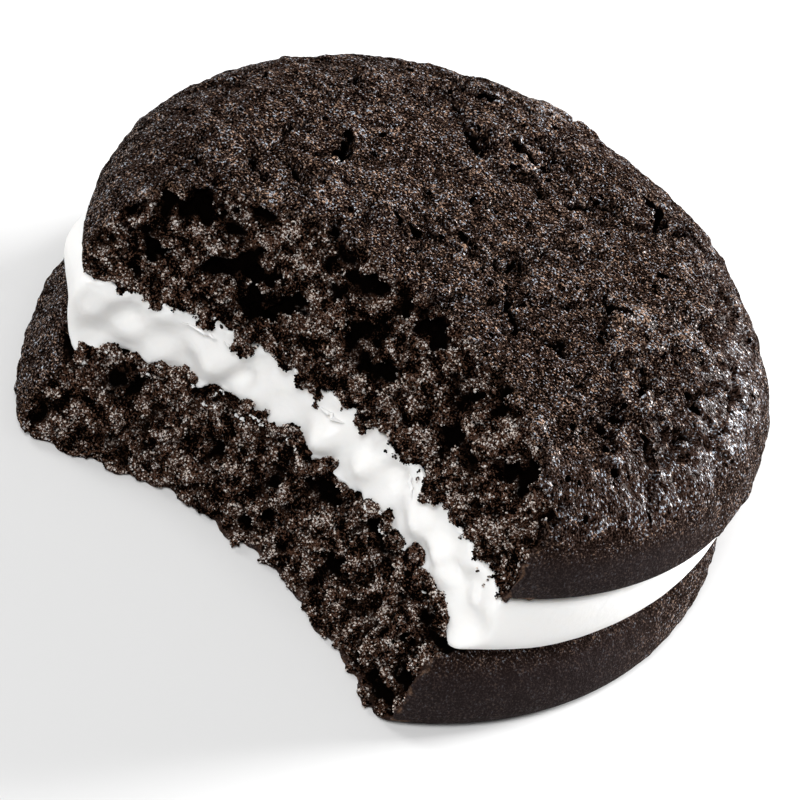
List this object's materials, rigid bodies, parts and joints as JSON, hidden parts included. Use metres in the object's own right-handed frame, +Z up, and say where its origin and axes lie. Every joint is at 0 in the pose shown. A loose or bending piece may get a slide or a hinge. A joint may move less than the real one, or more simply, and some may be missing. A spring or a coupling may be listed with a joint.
{
  "type": "snack cake sandwich",
  "caption": "Round dark chocolate snack cake sandwich with white cream between soft cakes and a bite taken from its edge.",
  "frame": {"origin": "centre of the bottom cake's flat base, as if the cake were whole", "axes": "+Z up through the layers, -Y towards the bite, +X to the right when looking at the bite"},
  "size_m": [0.0622, 0.0553, 0.0251],
  "materials": {
    "chocolate_crust": "dark chocolate cake crust, finely grained, matte with small glints, cracked and pitted on top, smooth on its sides, with a moist open crumb where it is bitten",
    "white_cream": "smooth whipped white cream with a soft gloss"
  },
  "bodies": {
    "root": {"cake_bottom": "chocolate_crust", "cream_filling": "white_cream", "cake_top": "chocolate_crust"}
  },
  "joints": []
}
